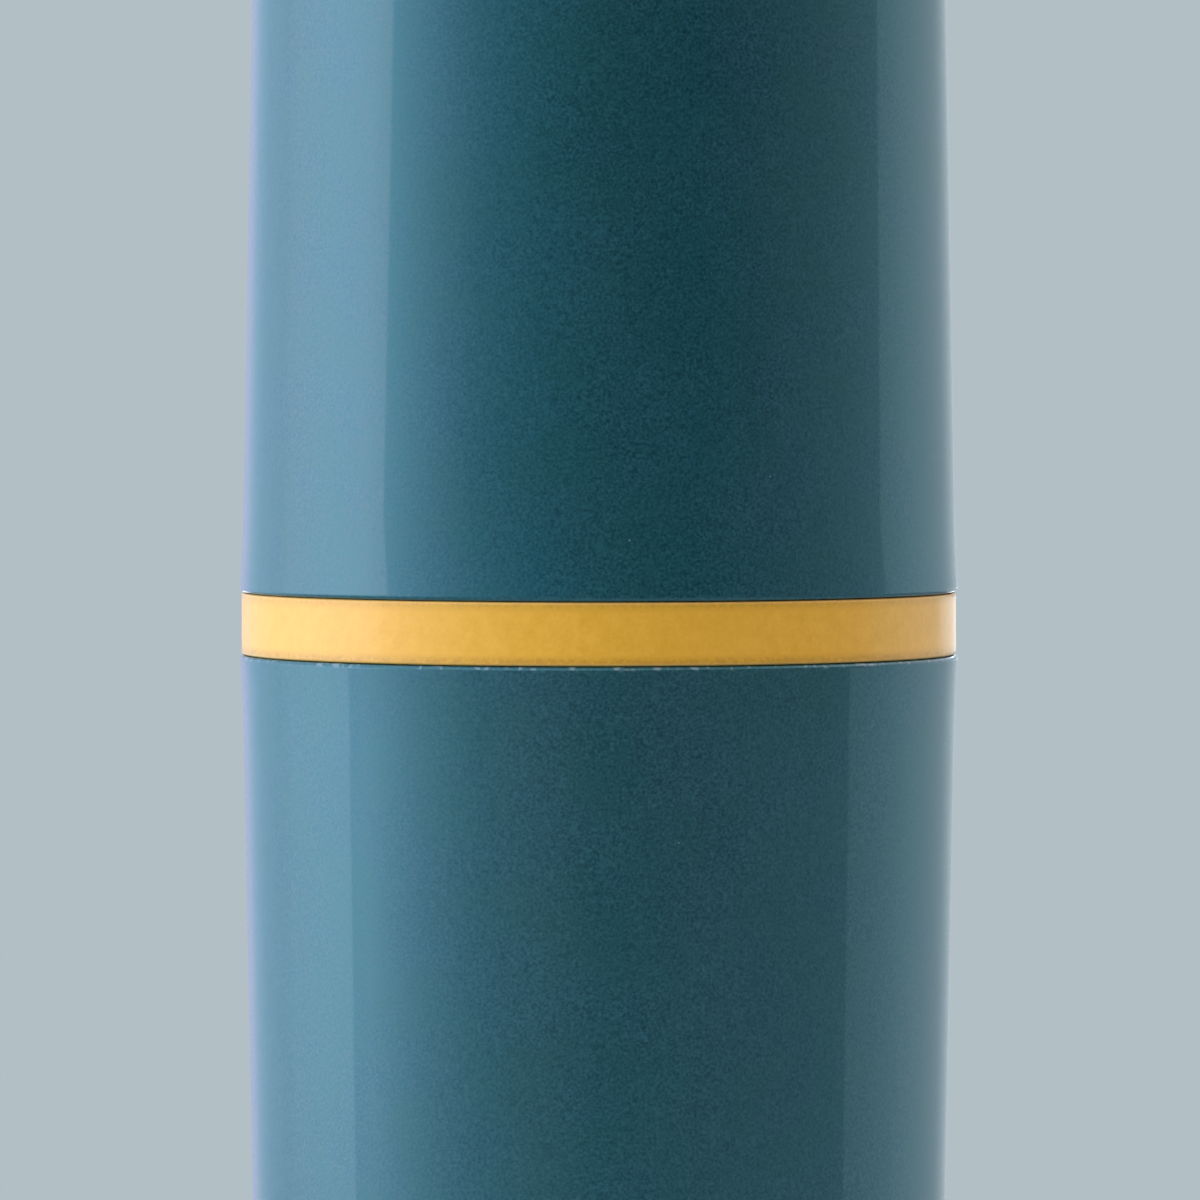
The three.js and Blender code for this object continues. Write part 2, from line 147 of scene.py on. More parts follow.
# Rings of drain slots, as (slots, place from boss to rim, open share of the pitch, turn in pitches)
DRAIN_RINGS = ((6, 0.27, 0.62, 0), (8, 0.545, 0.66, 0.5), (12, 0.82, 0.6, 0))

# The knob's side, as (share of its height, share of the waist's depth), its head, as (share of its radius,
# share of its height), and its furrows, as shares of its height
KNOB_GRIP = ((0.03, 0), (0.12, 0.55), (0.3, 1), (0.48, 0.8), (0.62, 0.3), (0.74, 0), (0.86, 0.25))
KNOB_HEAD = ((0.78, 0.95), (0.45, 0.99), (0, 1))
KNOB_FURROWS = (0.22, 0.32, 0.42)

# How finely the surfaces are made, and how much of a short face a round and its margin may take
ROUND_STEP_DEGREES = 14
ROUND_LIMIT = 0.45
FLAT_MARGIN = 0.3
FLAT_MARGIN_LIMIT = 0.04
ON_AXIS = 1e-7
FINE_TURN = 240
SMALL_TURN = 72
LIP_STEPS = 12
LIP_END_SHARE = 0.12
KEY_SIDE_STEPS = 7
KEY_SIDE_REACH = 0.9
KNOB_CURVE_STEPS = 12
DRAIN_SLOT_STEPS = (8, 10)

SOCKET_RADIUS = MOUTH_RADIUS - SOCKET_WALL
NECK_RADIUS = SOCKET_RADIUS - NECK_CLEARANCE
NECK_BORE_RADIUS = NECK_RADIUS - NECK_WALL
LEDGE_RADIUS = NECK_BORE_RADIUS - LEDGE_WIDTH
RACK_OPENING_RADIUS = (LEDGE_RADIUS + knob_radius) / 2
RACK_OPENING_WIDTH = LEDGE_RADIUS - knob_radius - 2 * (GUIDE_WALL + GUIDE_MARGIN)
TRAY_FLOOR_RADIUS = tray_radius - TRAY_RIM_WALL - TRAY_RIM_SLOPE
band_low = collar_low + NECK_HEIGHT
band_high = collar_high - NECK_HEIGHT
lower_mouth = band_low - JOINT
upper_mouth = band_high + JOINT


# Outlines and surfaces

def rounded(corners, closed):
    """The outline through corners given as (radius, height, round), with an arc in each corner.

    An arc of radius r in a corner that turns by an angle t starts r tan(t / 2) before the corner, and
    its centre lies square to the line that comes in, on the side that the outline turns to. One more
    point just before and after each arc keeps the long faces beside it flat in the shading."""
    places = np.array([corner[:2] for corner in corners], float)
    rounds = [corner[2] for corner in corners]
    count = len(corners)
    outline = []
    for index in range(count):
        place, size = places[index], rounds[index]
        if size == 0 or (not closed and index in (0, count - 1)):
            outline.append(place[None])
            continue
        coming = place - places[index - 1]
        leaving = places[(index + 1) % count] - place
        room = min(np.hypot(*coming), np.hypot(*leaving))
        coming, leaving = coming / np.hypot(*coming), leaving / np.hypot(*leaving)
        turn = math.atan2(coming[0] * leaving[1] - coming[1] * leaving[0], coming @ leaving)
        size = min(size, ROUND_LIMIT * room / math.tan(abs(turn) / 2))
        cut = size * math.tan(abs(turn) / 2)
        square = np.array([-coming[1], coming[0]]) * math.copysign(1, turn)
        centre = place - coming * cut + square * size
        steps = max(2, math.ceil(abs(math.degrees(turn)) / ROUND_STEP_DEGREES))
        angles = math.atan2(*-square[::-1]) + turn * np.linspace(0, 1, steps + 1)
        arc = centre + size * np.stack([np.cos(angles), np.sin(angles)], 1)
        margin = min(FLAT_MARGIN * size, FLAT_MARGIN_LIMIT * room)
        outline += [(arc[0] - coming * margin)[None], arc, (arc[-1] + leaving * margin)[None]]
    return np.concatenate(outline)


def even_turn(count):
    """A number of angles, evenly round the axis."""
    return np.arange(count) * 2 * math.pi / count


def grid_faces(rows, columns, rows_close):
    """Quads between the neighbours of a grid of points whose columns close on themselves."""
    row, column = np.meshgrid(np.arange(rows if rows_close else rows - 1), np.arange(columns), indexing="ij")
    here, beside = row * columns + column, row * columns + (column + 1) % columns
    ahead = ((row + 1) % rows) * columns
    return np.stack([here, beside, ahead + (column + 1) % columns, ahead + column], -1).reshape(-1, 4)


def turned(outline, angles, depth=None):
    """The surface of an outline of (radius, height) turned about Z: each point goes round the angles at
    its own radius and height. An outline that starts and ends on the axis gets a pole at each end, and
    any other closes on itself. depth(angles, height, radius), where given, is taken from the radius."""
    capped = outline[0, 0] < ON_AXIS
    rings = outline[1:-1] if capped else outline
    radius, height = rings[:, :1], rings[:, 1:]
    if depth is not None:
        radius = radius - depth(angles[None], height, radius)
    around = np.stack(np.broadcast_arrays(radius * np.cos(angles), radius * np.sin(angles), height), -1)
    points, faces = around.reshape(-1, 3), grid_faces(len(rings), len(angles), not capped).tolist()
    if capped:
        count, columns = len(points), np.arange(len(angles))
        beside = (columns + 1) % len(angles)
        last = (len(rings) - 1) * len(angles)
        faces += np.stack([np.full(len(angles), count), beside, columns], 1).tolist()
        faces += np.stack([last + columns, last + beside, np.full(len(angles), count + 1)], 1).tolist()
        points = np.concatenate([points, [[0, 0, outline[0, 1]], [0, 0, outline[-1, 1]]]])
    return points, faces


def through(points, steps):
    """A smooth curve through points: between two of them, the cubic whose slope at each is half the
    step from the point before it to the point after it."""
    points = np.array(points, float)
    padded = np.concatenate([2 * points[:1] - points[1:2], points, 2 * points[-1:] - points[-2:-1]])
    before, here, ahead, after = (padded[shift:len(padded) - 3 + shift, None] for shift in range(4))
    share = np.linspace(0, 1, steps, endpoint=False)[None, :, None]
    slope, next_slope = (ahead - before) / 2, (after - here) / 2
    rise = 3 * (ahead - here) - 2 * slope - next_slope
    bend = 2 * (here - ahead) + slope + next_slope
    curve = here + slope * share + rise * share ** 2 + bend * share ** 3
    return np.concatenate([curve.reshape(-1, 2), points[-1:]])


def circle(radius, count=SMALL_TURN, centre=(0, 0)):
    """A round loop run counter-clockwise, with what it bounds on its left."""
    angles = even_turn(count)
    return np.stack([radius * np.cos(angles), radius * np.sin(angles)], 1) + centre


def bent_slot(radius, width, start, end, across_steps=12, along_steps=24):
    """A loop round a slot bent along an arc about the axis, with half circles at its ends."""
    start, end = math.radians(start), math.radians(end)
    half = np.linspace(0, math.pi, across_steps + 1)
    along = np.linspace(start, end, along_steps + 1)[1:-1]

    def arc(reach, angles, centre=0):
        """Points at angles on a circle about a centre."""
        return np.stack([reach * np.cos(angles), reach * np.sin(angles)], 1) + centre

    ends = [radius * np.array([math.cos(angle), math.sin(angle)]) for angle in (start, end)]
    return np.concatenate([
        arc(radius + width / 2, along),
        arc(width / 2, end + half, ends[1]),
        arc(radius - width / 2, along[::-1]),
        arc(width / 2, start + math.pi + half, ends[0]),
    ])


def carried(profile, loop, closed):
    """The surface of a profile of (reach, height) carried round a flat loop: each point lies its reach
    to the right of the loop and at its own height."""
    along = np.roll(loop, -1, 0) - np.roll(loop, 1, 0)
    aside = np.stack([along[:, 1], -along[:, 0]], 1) / np.hypot(*along.T)[:, None]
    flat = loop[None] + profile[:, :1, None] * aside[None]
    height = np.broadcast_to(profile[:, 1:, None], (*flat.shape[:2], 1))
    return np.concatenate([flat, height], 2).reshape(-1, 3), grid_faces(len(profile), len(loop), closed)


def plate(outside, holes, low, high, edge):
    """A flat plate with rounded edges: a rounded edge carried round the outside and each hole, and the
    two flat faces filled in between the edges' ends."""
    land = -3 * edge
    lip = rounded([(land, low, 0), (0, low, edge), (0, high, edge), (land, high, 0)], False)
    loops = [outside, *(hole[::-1] for hole in holes)]
    edges = [carried(lip, loop, False) for loop in loops]
    starts = np.cumsum([0, *(len(points) for points, _ in edges)])
    under = np.concatenate([start + np.arange(len(loop)) for start, loop in zip(starts, loops)])
    over = np.concatenate([start + (len(lip) - 1) * len(loop) + np.arange(len(loop))
                           for start, loop in zip(starts, loops)])
    points = np.concatenate([points for points, _ in edges])
    ends = [[Vector((*place, 0)) for place in points[start:start + len(loop), :2]]
            for start, loop in zip(starts, loops)]
    fill = np.array(tessellate_polygon(ends))
    first, second, third = (points[under[fill[:, corner]], :2] for corner in range(3))
    turn = np.cross(second - first, third - first)
    fill[turn < 0] = fill[turn < 0][:, ::-1]
    faces = [face for start, (_, quads) in zip(starts, edges) for face in (quads + start).tolist()]
    return points, faces + under[fill[:, ::-1]].tolist() + over[fill].tolist()


def together(*surfaces):
    """Several closed surfaces as one."""
    starts = np.cumsum([0, *(len(points) for points, _ in surfaces)])
    faces = [[start + corner for corner in face] for start, (_, quads) in zip(starts, surfaces)
             for face in quads]
    return np.concatenate([points for points, _ in surfaces]), faces


def piece(name, surface, material, body, slot, *nodes):
    """A mesh piece of the mug that rides on a body and stands in for nodes of the frame."""
    points, faces = surface
    mesh = bpy.data.meshes.new(name)
    mesh.from_pydata(points.tolist(), [], faces)
    mesh.polygons.foreach_set("use_smooth", np.ones(len(mesh.polygons), bool))
    mesh.materials.append(material)
    made = bpy.data.objects.new(name, mesh)
    bpy.context.scene.collection.objects.link(made)
    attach(made, body)
    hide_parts(*nodes)


# Shader maths

class Field:
    """A number or vector that varies over a surface or a sky. Sums and products of it add Math nodes."""

    def __init__(self, recipe, socket):
        self.recipe, self.socket = recipe, socket

    def _math(self, operation, *terms):
        sockets = {index: term for index, term in enumerate(terms)}
        return self.recipe.add("ShaderNodeMath", {"operation": operation}, sockets)

    def __add__(self, other):
        return self._math("ADD", self, other)

    def __sub__(self, other):
        return self._math("SUBTRACT", self, other)

    def __rsub__(self, other):
        return self._math("SUBTRACT", other, self)

    def __mul__(self, other):
        return self._math("MULTIPLY", self, other)

    def __abs__(self):
        return self._math("ABSOLUTE", self)

    def smaller(self, other):
        return self._math("MINIMUM", self, other)

    def more_than(self, other):
        return self._math("GREATER_THAN", self, other)

    def less_than(self, other):
        return self._math("LESS_THAN", self, other)

    __radd__ = __add__
    __rmul__ = __mul__


class Recipe:
    """The node tree of one material or of the world, and the ways to add to it."""

    def __init__(self, owner):
        owner.use_nodes = True
        self.owner, self.tree = owner, owner.node_tree
        self.tree.nodes.clear()

    def add(self, kind, settings, sockets, output=0):
        """Adds a node of a kind, sets its settings, then gives its sockets their values or links."""
        node = self.tree.nodes.new(kind)
        for name, setting in settings.items():
            if name == "stops":
                self._set_stops(node.color_ramp, setting)
            else:
                setattr(node, name, setting)
        for name, value in sockets.items():
            if isinstance(value, Field):
                self.tree.links.new(value.socket, node.inputs[name])
            else:
                node.inputs[name].default_value = value
        return Field(self, node.outputs[output]) if node.outputs else None

    @staticmethod
    def _set_stops(ramp, stops):
        while len(ramp.elements) < len(stops):
            ramp.elements.new(1)
        while len(ramp.elements) > len(stops):
            ramp.elements.remove(ramp.elements[-1])
        for element, (position, level) in zip(ramp.elements, stops):
            element.position, element.color = position, (level, level, level, 1)

    def ramp(self, value, *stops):
        """A number that follows straight lines between (position, level) stops."""
        return self.add("ShaderNodeValToRGB", {"stops": stops}, {"Fac": value})

    def eased(self, value, start, end):
        """0 before start, 1 after end and a smooth step between them."""
        sockets = {"Value": value, "From Min": start, "From Max": end}
        return self.add("ShaderNodeMapRange", {"interpolation_type": "SMOOTHSTEP"}, sockets)

    def noise(self, where, size, detail, roughness=0.5):
        """Soft noise about a half, whose blotches are a size across."""
        sockets = {"Vector": where, "Scale": 1 / size, "Detail": detail, "Roughness": roughness}
        return self.add("ShaderNodeTexNoise", {}, sockets)

    def specks(self, where, spacing, share):
        """1 on sparse specks: the points of a cell pattern that happen to lie in the surface. Each fades
        out at a share of the spacing from its point."""
        sockets = {"Vector": where, "Scale": 1 / spacing}
        return self.eased(self.add("ShaderNodeTexVoronoi", {}, sockets, "Distance"), share, 0.4 * share)

    def mixed(self, share, first, second):
        """A colour between two others."""
        return self.add("ShaderNodeMix", {"data_type": "RGBA"}, {0: share, 6: first, 7: second}, 2)

    def place(self):
        """The point on the piece, in metres."""
        return self.add("ShaderNodeTexCoord", {}, {}, "Object")

    def parts(self, vector):
        """The three numbers of a point or a direction."""
        outputs = self.add("ShaderNodeSeparateXYZ", {}, {"Vector": vector}).socket.node.outputs
        return [Field(self, output) for output in outputs]


def varied(middle, *shares):
    """A number about a middle that follows soft noises, which are given with their shares."""
    for noise, share in shares:
        middle = middle + share * (noise - 0.5)
    return middle


def finish_material(recipe, colour, roughness, bump, others):
    """Ends a material, whose bump is (height of the relief, its pattern). Constants among the others sit
    on the shader's own sockets, and what varies is linked."""
    relief = recipe.add("ShaderNodeBump", {}, {"Strength": 1.0, "Distance": bump[0], "Height": bump[1]})
    sockets = {"Base Color": colour, "Roughness": roughness, "Normal": relief, **others}
    surface = recipe.add("ShaderNodeBsdfPrincipled", {}, sockets)
    recipe.add("ShaderNodeOutputMaterial", {}, {"Surface": surface})
    return recipe.owner


def new_recipe(name):
    """The recipe of a new material."""
    return Recipe(bpy.data.materials.new(name))


# Finishes

TEAL = (0.022, 0.137, 0.178)
DARKER_TEAL, LIGHTER_TEAL, GREENER_TEAL = (0.68, 0.82, 0.82), (1.32, 1.18, 1.18), (0.90, 1.06, 0.88)
YELLOW = (0.96, 0.560, 0.043)
# The soiled yellow is painted shade at the band's joints with the cups, together with some soiling
DARKER_YELLOW, LIGHTER_YELLOW, SHADED_AND_SOILED_YELLOW = (0.94, 0.93, 0.70), (1.06, 1.07, 1.30), (0.73, 0.70, 0.62)
# Pale colours for rubbed wear that also paint highlights: glints on the lower cup's rim, and the band's
# edges
GLINT_AND_WORN_TEAL, GLINT_AND_WORN_YELLOW = (0.30, 0.46, 0.50, 1), (0.98, 0.72, 0.24, 1)
DUST = (0.42, 0.45, 0.45, 1)
WHITE = (0.74, 0.725, 0.67)
FOOT_GREY, SEAL_GREY = (0.030, 0.075, 0.090), (0.70, 0.72, 0.69)

# How far across the finishes' blotches are, and the heights of their relief
TEAL_GRAIN, TEAL_PATCH, TEAL_TINT, TEAL_CLOUD = 0.00027, 0.0014, 0.007, 0.018
YELLOW_GRAIN, YELLOW_PATCH, YELLOW_CLOUD = 0.00036, 0.0013, 0.012
SILICONE_GRAIN, SILICONE_BLOOM = 0.00015, 0.004
WHITE_PEEL, WHITE_FLOW = 0.0006, 0.01
TEAL_RELIEF, YELLOW_RELIEF, SILICONE_RELIEF, WHITE_RELIEF = 0.000008, 0.000015, 0.000008, 0.00001

# How far from an edge its marks end, and where they are full: rubbed wear with a painted highlight on the
# teal rim and the band's edges, and painted shade with some soiling along the band's edges
GLINT_AND_RUBBED_TEAL, GLINT_AND_RUBBED_YELLOW, EDGE_SHADE_AND_STAIN = (0.0005, 0.0001), (0.00036, 0.00012), (0.0012, 0.0001)
GLINT_AND_RUBBED_SPOT = 0.0009
DUST_SPACING, DUST_SHARE = 0.006, 0.018


def shade(colour, factors):
    """A colour times one factor, or times three, held at 1."""
    return (*np.minimum(1, np.multiply(colour, factors)).tolist(), 1)


def teal_cup_finish():
    """A teal moulding: a fine grain with faint patches and clouds, pale flecks along the rim of the lower
    cup that are rubbed wear and a painted highlight of the rim's glints, sparse dust, and a thin clear coat
    over it."""
    recipe = new_recipe("teal_satin_moulding")
    where = recipe.place()
    up = recipe.parts(where)[2]
    grain = recipe.noise(where, TEAL_GRAIN, 1.5, 0.6)
    patch = recipe.noise(where, TEAL_PATCH, 2)
    cloud = recipe.noise(where, TEAL_CLOUD, 3)
    mottle = varied(0.5, (grain, 2.2), (patch, 0.2), (cloud, 0.4))
    colour = recipe.mixed(mottle, shade(TEAL, DARKER_TEAL), shade(TEAL, LIGHTER_TEAL))
    tint = recipe.eased(recipe.noise(where, TEAL_TINT, 2), 0.4, 0.6)
    colour = recipe.mixed(0.35 * tint, colour, shade(TEAL, GREENER_TEAL))
    # Painted highlight with rubbed wear: pale flecks along the lower cup's rim, where its glints would be
    glint_and_rubbed = recipe.eased(abs(up - lower_mouth), *GLINT_AND_RUBBED_TEAL)
    glint_and_rubbed = glint_and_rubbed * recipe.eased(recipe.noise(where, GLINT_AND_RUBBED_SPOT, 2), 0.52, 0.66)
    colour = recipe.mixed(0.6 * glint_and_rubbed, colour, GLINT_AND_WORN_TEAL)
    dust = recipe.specks(where, DUST_SPACING, DUST_SHARE)
    colour = recipe.mixed(0.5 * dust, colour, DUST)
    metallic = varied(0.5, (grain, -1.5)) - 0.4 * dust
    roughness = varied(0.40, (cloud, 0.06), (grain, 0.10)) + 0.3 * dust
    others = {"Metallic": metallic, "Coat Weight": varied(0.57, (grain, 0.6)), "Coat Roughness": 0.05,
              "Specular IOR Level": 0.13, "Specular Tint": (0.80, 0.94, 1.0, 1)}
    return finish_material(recipe, colour, roughness, (TEAL_RELIEF, grain), others)


def yellow_finish():
    """A yellow moulding: a fine grain with patches, and on the band's face alone a darker strip along both
    edges, fainter along the upper one, that is painted shade of the joints with some soiling, and edges made
    pale as rubbed wear and a painted highlight."""
    recipe = new_recipe("yellow_satin_moulding")
    where = recipe.place()
    across, along, up = recipe.parts(where)
    grain = recipe.noise(where, YELLOW_GRAIN, 1.5, 0.6)
    patch = recipe.noise(where, YELLOW_PATCH, 2)
    cloud = recipe.noise(where, YELLOW_CLOUD, 3)
    mottle = varied(0.5, (grain, 1.2), (patch, 1.7), (cloud, 0.5))
    colour = recipe.mixed(mottle, shade(YELLOW, DARKER_YELLOW), shade(YELLOW, LIGHTER_YELLOW))
    # Painted shade with some soiling: the band darker along both edges where it meets the cups, fainter
    # above
    from_edge = abs(up - band_low).smaller(abs(up - band_high))
    outside = (across * across + along * along).more_than((band_radius - BAND_SKIN_DEPTH) ** 2)
    shaded_and_stained = recipe.eased(from_edge, *EDGE_SHADE_AND_STAIN) * outside * varied(1.0, (patch, 1.8), (grain, 3.0))
    shaded_and_stained = shaded_and_stained * (1 - 0.4 * up.more_than((band_low + band_high) / 2))
    colour = recipe.mixed(shaded_and_stained, colour, shade(YELLOW, SHADED_AND_SOILED_YELLOW))
    # Painted highlight with rubbed wear: the band's edges made pale where their rounds catch light
    glint_and_rubbed = recipe.eased(from_edge, *GLINT_AND_RUBBED_YELLOW) * outside
    colour = recipe.mixed(0.35 * glint_and_rubbed, colour, GLINT_AND_WORN_YELLOW)
    roughness = varied(0.42, (cloud, 0.06), (grain, 0.08))
    others = {"Specular IOR Level": 0.6, "Coat Weight": 0.27, "Coat Roughness": 0.08,
              "Sheen Weight": 0.16, "Sheen Roughness": 0.22}
    return finish_material(recipe, colour, roughness, (YELLOW_RELIEF, grain), others)


def silicone_finish(name, tint, rough):
    """Silicone with a faint bloom and a fine grain."""
    recipe = new_recipe(name)
    where = recipe.place()
    bloom = recipe.noise(where, SILICONE_BLOOM, 4)
    grain = recipe.noise(where, SILICONE_GRAIN, 2)
    colour = recipe.mixed(bloom, shade(tint, 0.92), shade(tint, 1.08))
    roughness = varied(rough, (bloom, 0.12))
    return finish_material(recipe, colour, roughness, (SILICONE_RELIEF, grain), {"IOR": 1.43})


def white_finish():
    """A white moulding with faint flow marks and a slight orange peel."""
    recipe = new_recipe("white_satin_moulding")
    where = recipe.place()
    flow = recipe.noise(where, WHITE_FLOW, 3)
    peel = recipe.noise(where, WHITE_PEEL, 2)
    colour = recipe.mixed(flow, shade(WHITE, 0.96), shade(WHITE, 1.03))
    roughness = varied(0.34, (flow, 0.10))
    others = {"IOR": 1.49, "Subsurface Weight": 0.15, "Subsurface Radius": (1.0, 0.9, 0.8),
              "Subsurface Scale": 0.0012}
    return finish_material(recipe, colour, roughness, (WHITE_RELIEF, peel), others)


teal_satin = teal_cup_finish()
yellow_satin = yellow_finish()
foot_silicone = silicone_finish("dark_foot_silicone", FOOT_GREY, rough=0.62)
seal_silicone = silicone_finish("clear_grey_seal_silicone", SEAL_GREY, rough=0.46)
white_satin = white_finish()


# Cups, feet, collar and seals

def cup_radius(from_mouth):
    """The outer radius at a distance from the mouth: the mouth's, less the distance times the tangent of
    the draft, and less the lip's flare times one minus the square of the share of the lip that is left."""
    along_lip = np.minimum(from_mouth / LIP_LENGTH, 1)
    taper = math.tan(math.radians(CUP_DRAFT_DEGREES))
    return MOUTH_RADIUS - from_mouth * taper - LIP_FLARE * (1 - (1 - along_lip) ** 2)


def cup_outline(height, rim_round):
    """A cup on its closed end: recess and foot groove below, the flared wall, the mouth, the socket for
    a neck with its ledge, and the rounded floor."""
    groove_out = foot_outer + SEAT_GAP
    groove_in = foot_outer - FOOT_WIDTH - SEAT_GAP
    recess = foot_outer - FOOT_WIDTH - BASE_RECESS_MARGIN
    socket_floor = height - NECK_HEIGHT
    inner_wall = cup_radius(height - socket_floor) - CUP_WALL
    floor_wall = cup_radius(height - BASE_WALL) - CUP_WALL
    drops = LIP_LENGTH * np.linspace(1, LIP_END_SHARE, LIP_STEPS)
    flare = [(cup_radius(drop), height - drop, 0) for drop in drops]
    corners = [
        (0, BASE_RECESS_DEPTH + GATE_DEPTH, 0),
        (GATE_RADIUS, BASE_RECESS_DEPTH + GATE_DEPTH, EDGE_ROUND),
        (GATE_RADIUS + GATE_DEPTH, BASE_RECESS_DEPTH, EDGE_ROUND),
        (recess, BASE_RECESS_DEPTH, EDGE_ROUND),
        (recess + BASE_RECESS_DEPTH, 0, EDGE_ROUND),
        (groove_in, 0, EDGE_ROUND),
        (groove_in, FOOT_SEAT_DEPTH, EDGE_ROUND),
        (groove_out, FOOT_SEAT_DEPTH, EDGE_ROUND),
        (groove_out, 0, EDGE_ROUND),
        (cup_radius(height), 0, BASE_ROUND),
        *flare,
        (cup_radius(0), height, rim_round),
        (SOCKET_RADIUS, height, SOCKET_ROUND),
        (SOCKET_RADIUS, socket_floor, EDGE_ROUND),
        (inner_wall, socket_floor, EDGE_ROUND),
        (floor_wall, BASE_WALL, FLOOR_ROUND),
        (0, BASE_WALL, 0),
    ]
    return rounded(corners, False)


def standing(outline, base):
    """The outline on its base."""
    return outline + [0, base]


def hanging(outline, base):
    """The outline upside down below its base, run the other way so that the solid stays on its left."""
    return (outline * [1, -1] + [0, base])[::-1]


def foot_outline():
    """A silicone ring, its edges rounded where it stands proud of the groove."""
    top = foot_high - foot_low
    inner = foot_outer - FOOT_WIDTH
    return rounded([
        (inner, 0, FOOT_ROUND),
        (foot_outer, 0, FOOT_ROUND),
        (foot_outer, top, EDGE_ROUND),
        (inner, top, EDGE_ROUND),
    ], True)


def neck_corners(seal_middle, seal_half):
    """One neck's outside from the band to its end, as (radius, distance from the band, round)."""
    groove = NECK_RADIUS - SEAL_GROOVE_DEPTH
    near, far = seal_middle - seal_half - SEAT_GAP, seal_middle + seal_half + SEAT_GAP
    return [
        (NECK_RADIUS, 0, EDGE_ROUND),
        (NECK_RADIUS, near, EDGE_ROUND),
        (groove, near, EDGE_ROUND),
        (groove, far, EDGE_ROUND),
        (NECK_RADIUS, far, EDGE_ROUND),
        (NECK_RADIUS, NECK_HEIGHT - NECK_CHAMFER, EDGE_ROUND),
        (NECK_RADIUS - NECK_CHAMFER, NECK_HEIGHT, EDGE_ROUND),
    ]


def collar_outline():
    """The collar: a band with a neck above and below it, and a ledge in its bore."""
    seal_half = (upper_seal_high - upper_seal_low) / 2
    above = neck_corners(upper_seal_low + seal_half - band_high, seal_half)
    below = neck_corners(band_low - lower_seal_low - seal_half, seal_half)
    ledge_top = band_high - LEDGE_DROP
    ledge_bottom = ledge_top - LEDGE_THICKNESS
    return rounded([
        *((radius, band_low - along, size) for radius, along, size in below[::-1]),
        (band_radius, band_low, BAND_ROUND),
        (band_radius, band_high, BAND_ROUND),
        *((radius, band_high + along, size) for radius, along, size in above),
        (NECK_BORE_RADIUS, collar_high, 2 * EDGE_ROUND),
        (NECK_BORE_RADIUS, ledge_top + KEY_HEIGHT, 0),
        (NECK_BORE_RADIUS, ledge_top + KEY_HEIGHT - EDGE_ROUND, 0),
        (NECK_BORE_RADIUS, ledge_top, EDGE_ROUND),
        (LEDGE_RADIUS, ledge_top, EDGE_ROUND),
        (LEDGE_RADIUS, ledge_bottom, EDGE_ROUND),
        (NECK_BORE_RADIUS, ledge_bottom - LEDGE_WIDTH, 2 * EDGE_ROUND),
        (NECK_BORE_RADIUS, collar_low, 2 * EDGE_ROUND),
    ], True)


def key_depth(angles, height, radius):
    """How far the two keys stand in from the bore: their full depth across their width, sloping off
    over an edge's round at their sides and top, above the ledge only."""
    across = np.abs(np.sin(angles)) * NECK_BORE_RADIUS
    side = np.clip((KEY_WIDTH / 2 - across) / EDGE_ROUND + 0.5, 0, 1)
    ledge_top = band_high - LEDGE_DROP
    top = np.clip((ledge_top + KEY_HEIGHT - height) / EDGE_ROUND, 0, 1)
    on_bore = (np.abs(radius - NECK_BORE_RADIUS) < EDGE_ROUND / 2) & (height > ledge_top)
    return KEY_DEPTH * side * top * on_bore


def key_turn():
    """Even angles, with closer ones at the sides of the two keys."""
    half = KEY_WIDTH / 2 / NECK_BORE_RADIUS
    edge = EDGE_ROUND / NECK_BORE_RADIUS
    close = edge * np.linspace(-KEY_SIDE_REACH, KEY_SIDE_REACH, KEY_SIDE_STEPS)
    close = np.array([-1, 1])[:, None] * half + close
    close = np.concatenate([close.ravel(), close.ravel() + math.pi]) % (2 * math.pi)
    return np.unique(np.concatenate([even_turn(FINE_TURN), close]))


def seal_outline(low, high):
    """A flat back in the groove, and two lips outside with a furrow between them."""
    inner = NECK_RADIUS - SEAL_GROOVE_DEPTH + SEAT_GAP
    middle, half = (low + high) / 2, (high - low) / 2
    furrow = seal_radius - SEAL_LIP_DEPTH
    return rounded([
        (inner, low, EDGE_ROUND),
        (seal_radius, low, EDGE_ROUND),
        (furrow, middle - half / 2, EDGE_ROUND),
        (seal_radius, middle, EDGE_ROUND),
        (furrow, middle + half / 2, EDGE_ROUND),
        (seal_radius, high, EDGE_ROUND),
        (inner, high, EDGE_ROUND),
    ], True)


fine = even_turn(FINE_TURN)
lower_cup_outline = standing(cup_outline(lower_mouth - lower_base, LOWER_RIM_ROUND), lower_base)
upper_cup_outline = hanging(cup_outline(upper_base - upper_mouth, UPPER_RIM_ROUND), upper_base)
piece("lower_cup_shell", turned(lower_cup_outline, fine), teal_satin, "lower_cup", "teal_cup", "lower_cup")
piece("upper_cup_shell", turned(upper_cup_outline, fine), teal_satin, "upper_cup", "teal_cup", "upper_cup")
piece("lower_foot", turned(foot_outline(), fine), foot_silicone, "lower_cup", "foot_silicone",
      "lower_foot_ring")
piece("upper_foot", turned(hanging(foot_outline(), cad_high.z), fine), foot_silicone, "upper_cup",
      "foot_silicone", "upper_foot_ring")
piece("collar_moulding", turned(collar_outline(), key_turn(), key_depth), yellow_satin, "collar",
      "yellow_plastic", "collar")
piece("lower_lip_seal", turned(seal_outline(lower_seal_low, lower_seal_high), fine), seal_silicone,
      "collar", "seal_silicone", "lower_seal")
piece("upper_lip_seal", turned(seal_outline(upper_seal_low, upper_seal_high), fine), seal_silicone,
      "collar", "seal_silicone", "upper_seal")


# Caddy: brush rack, post, pull knob and drip tray

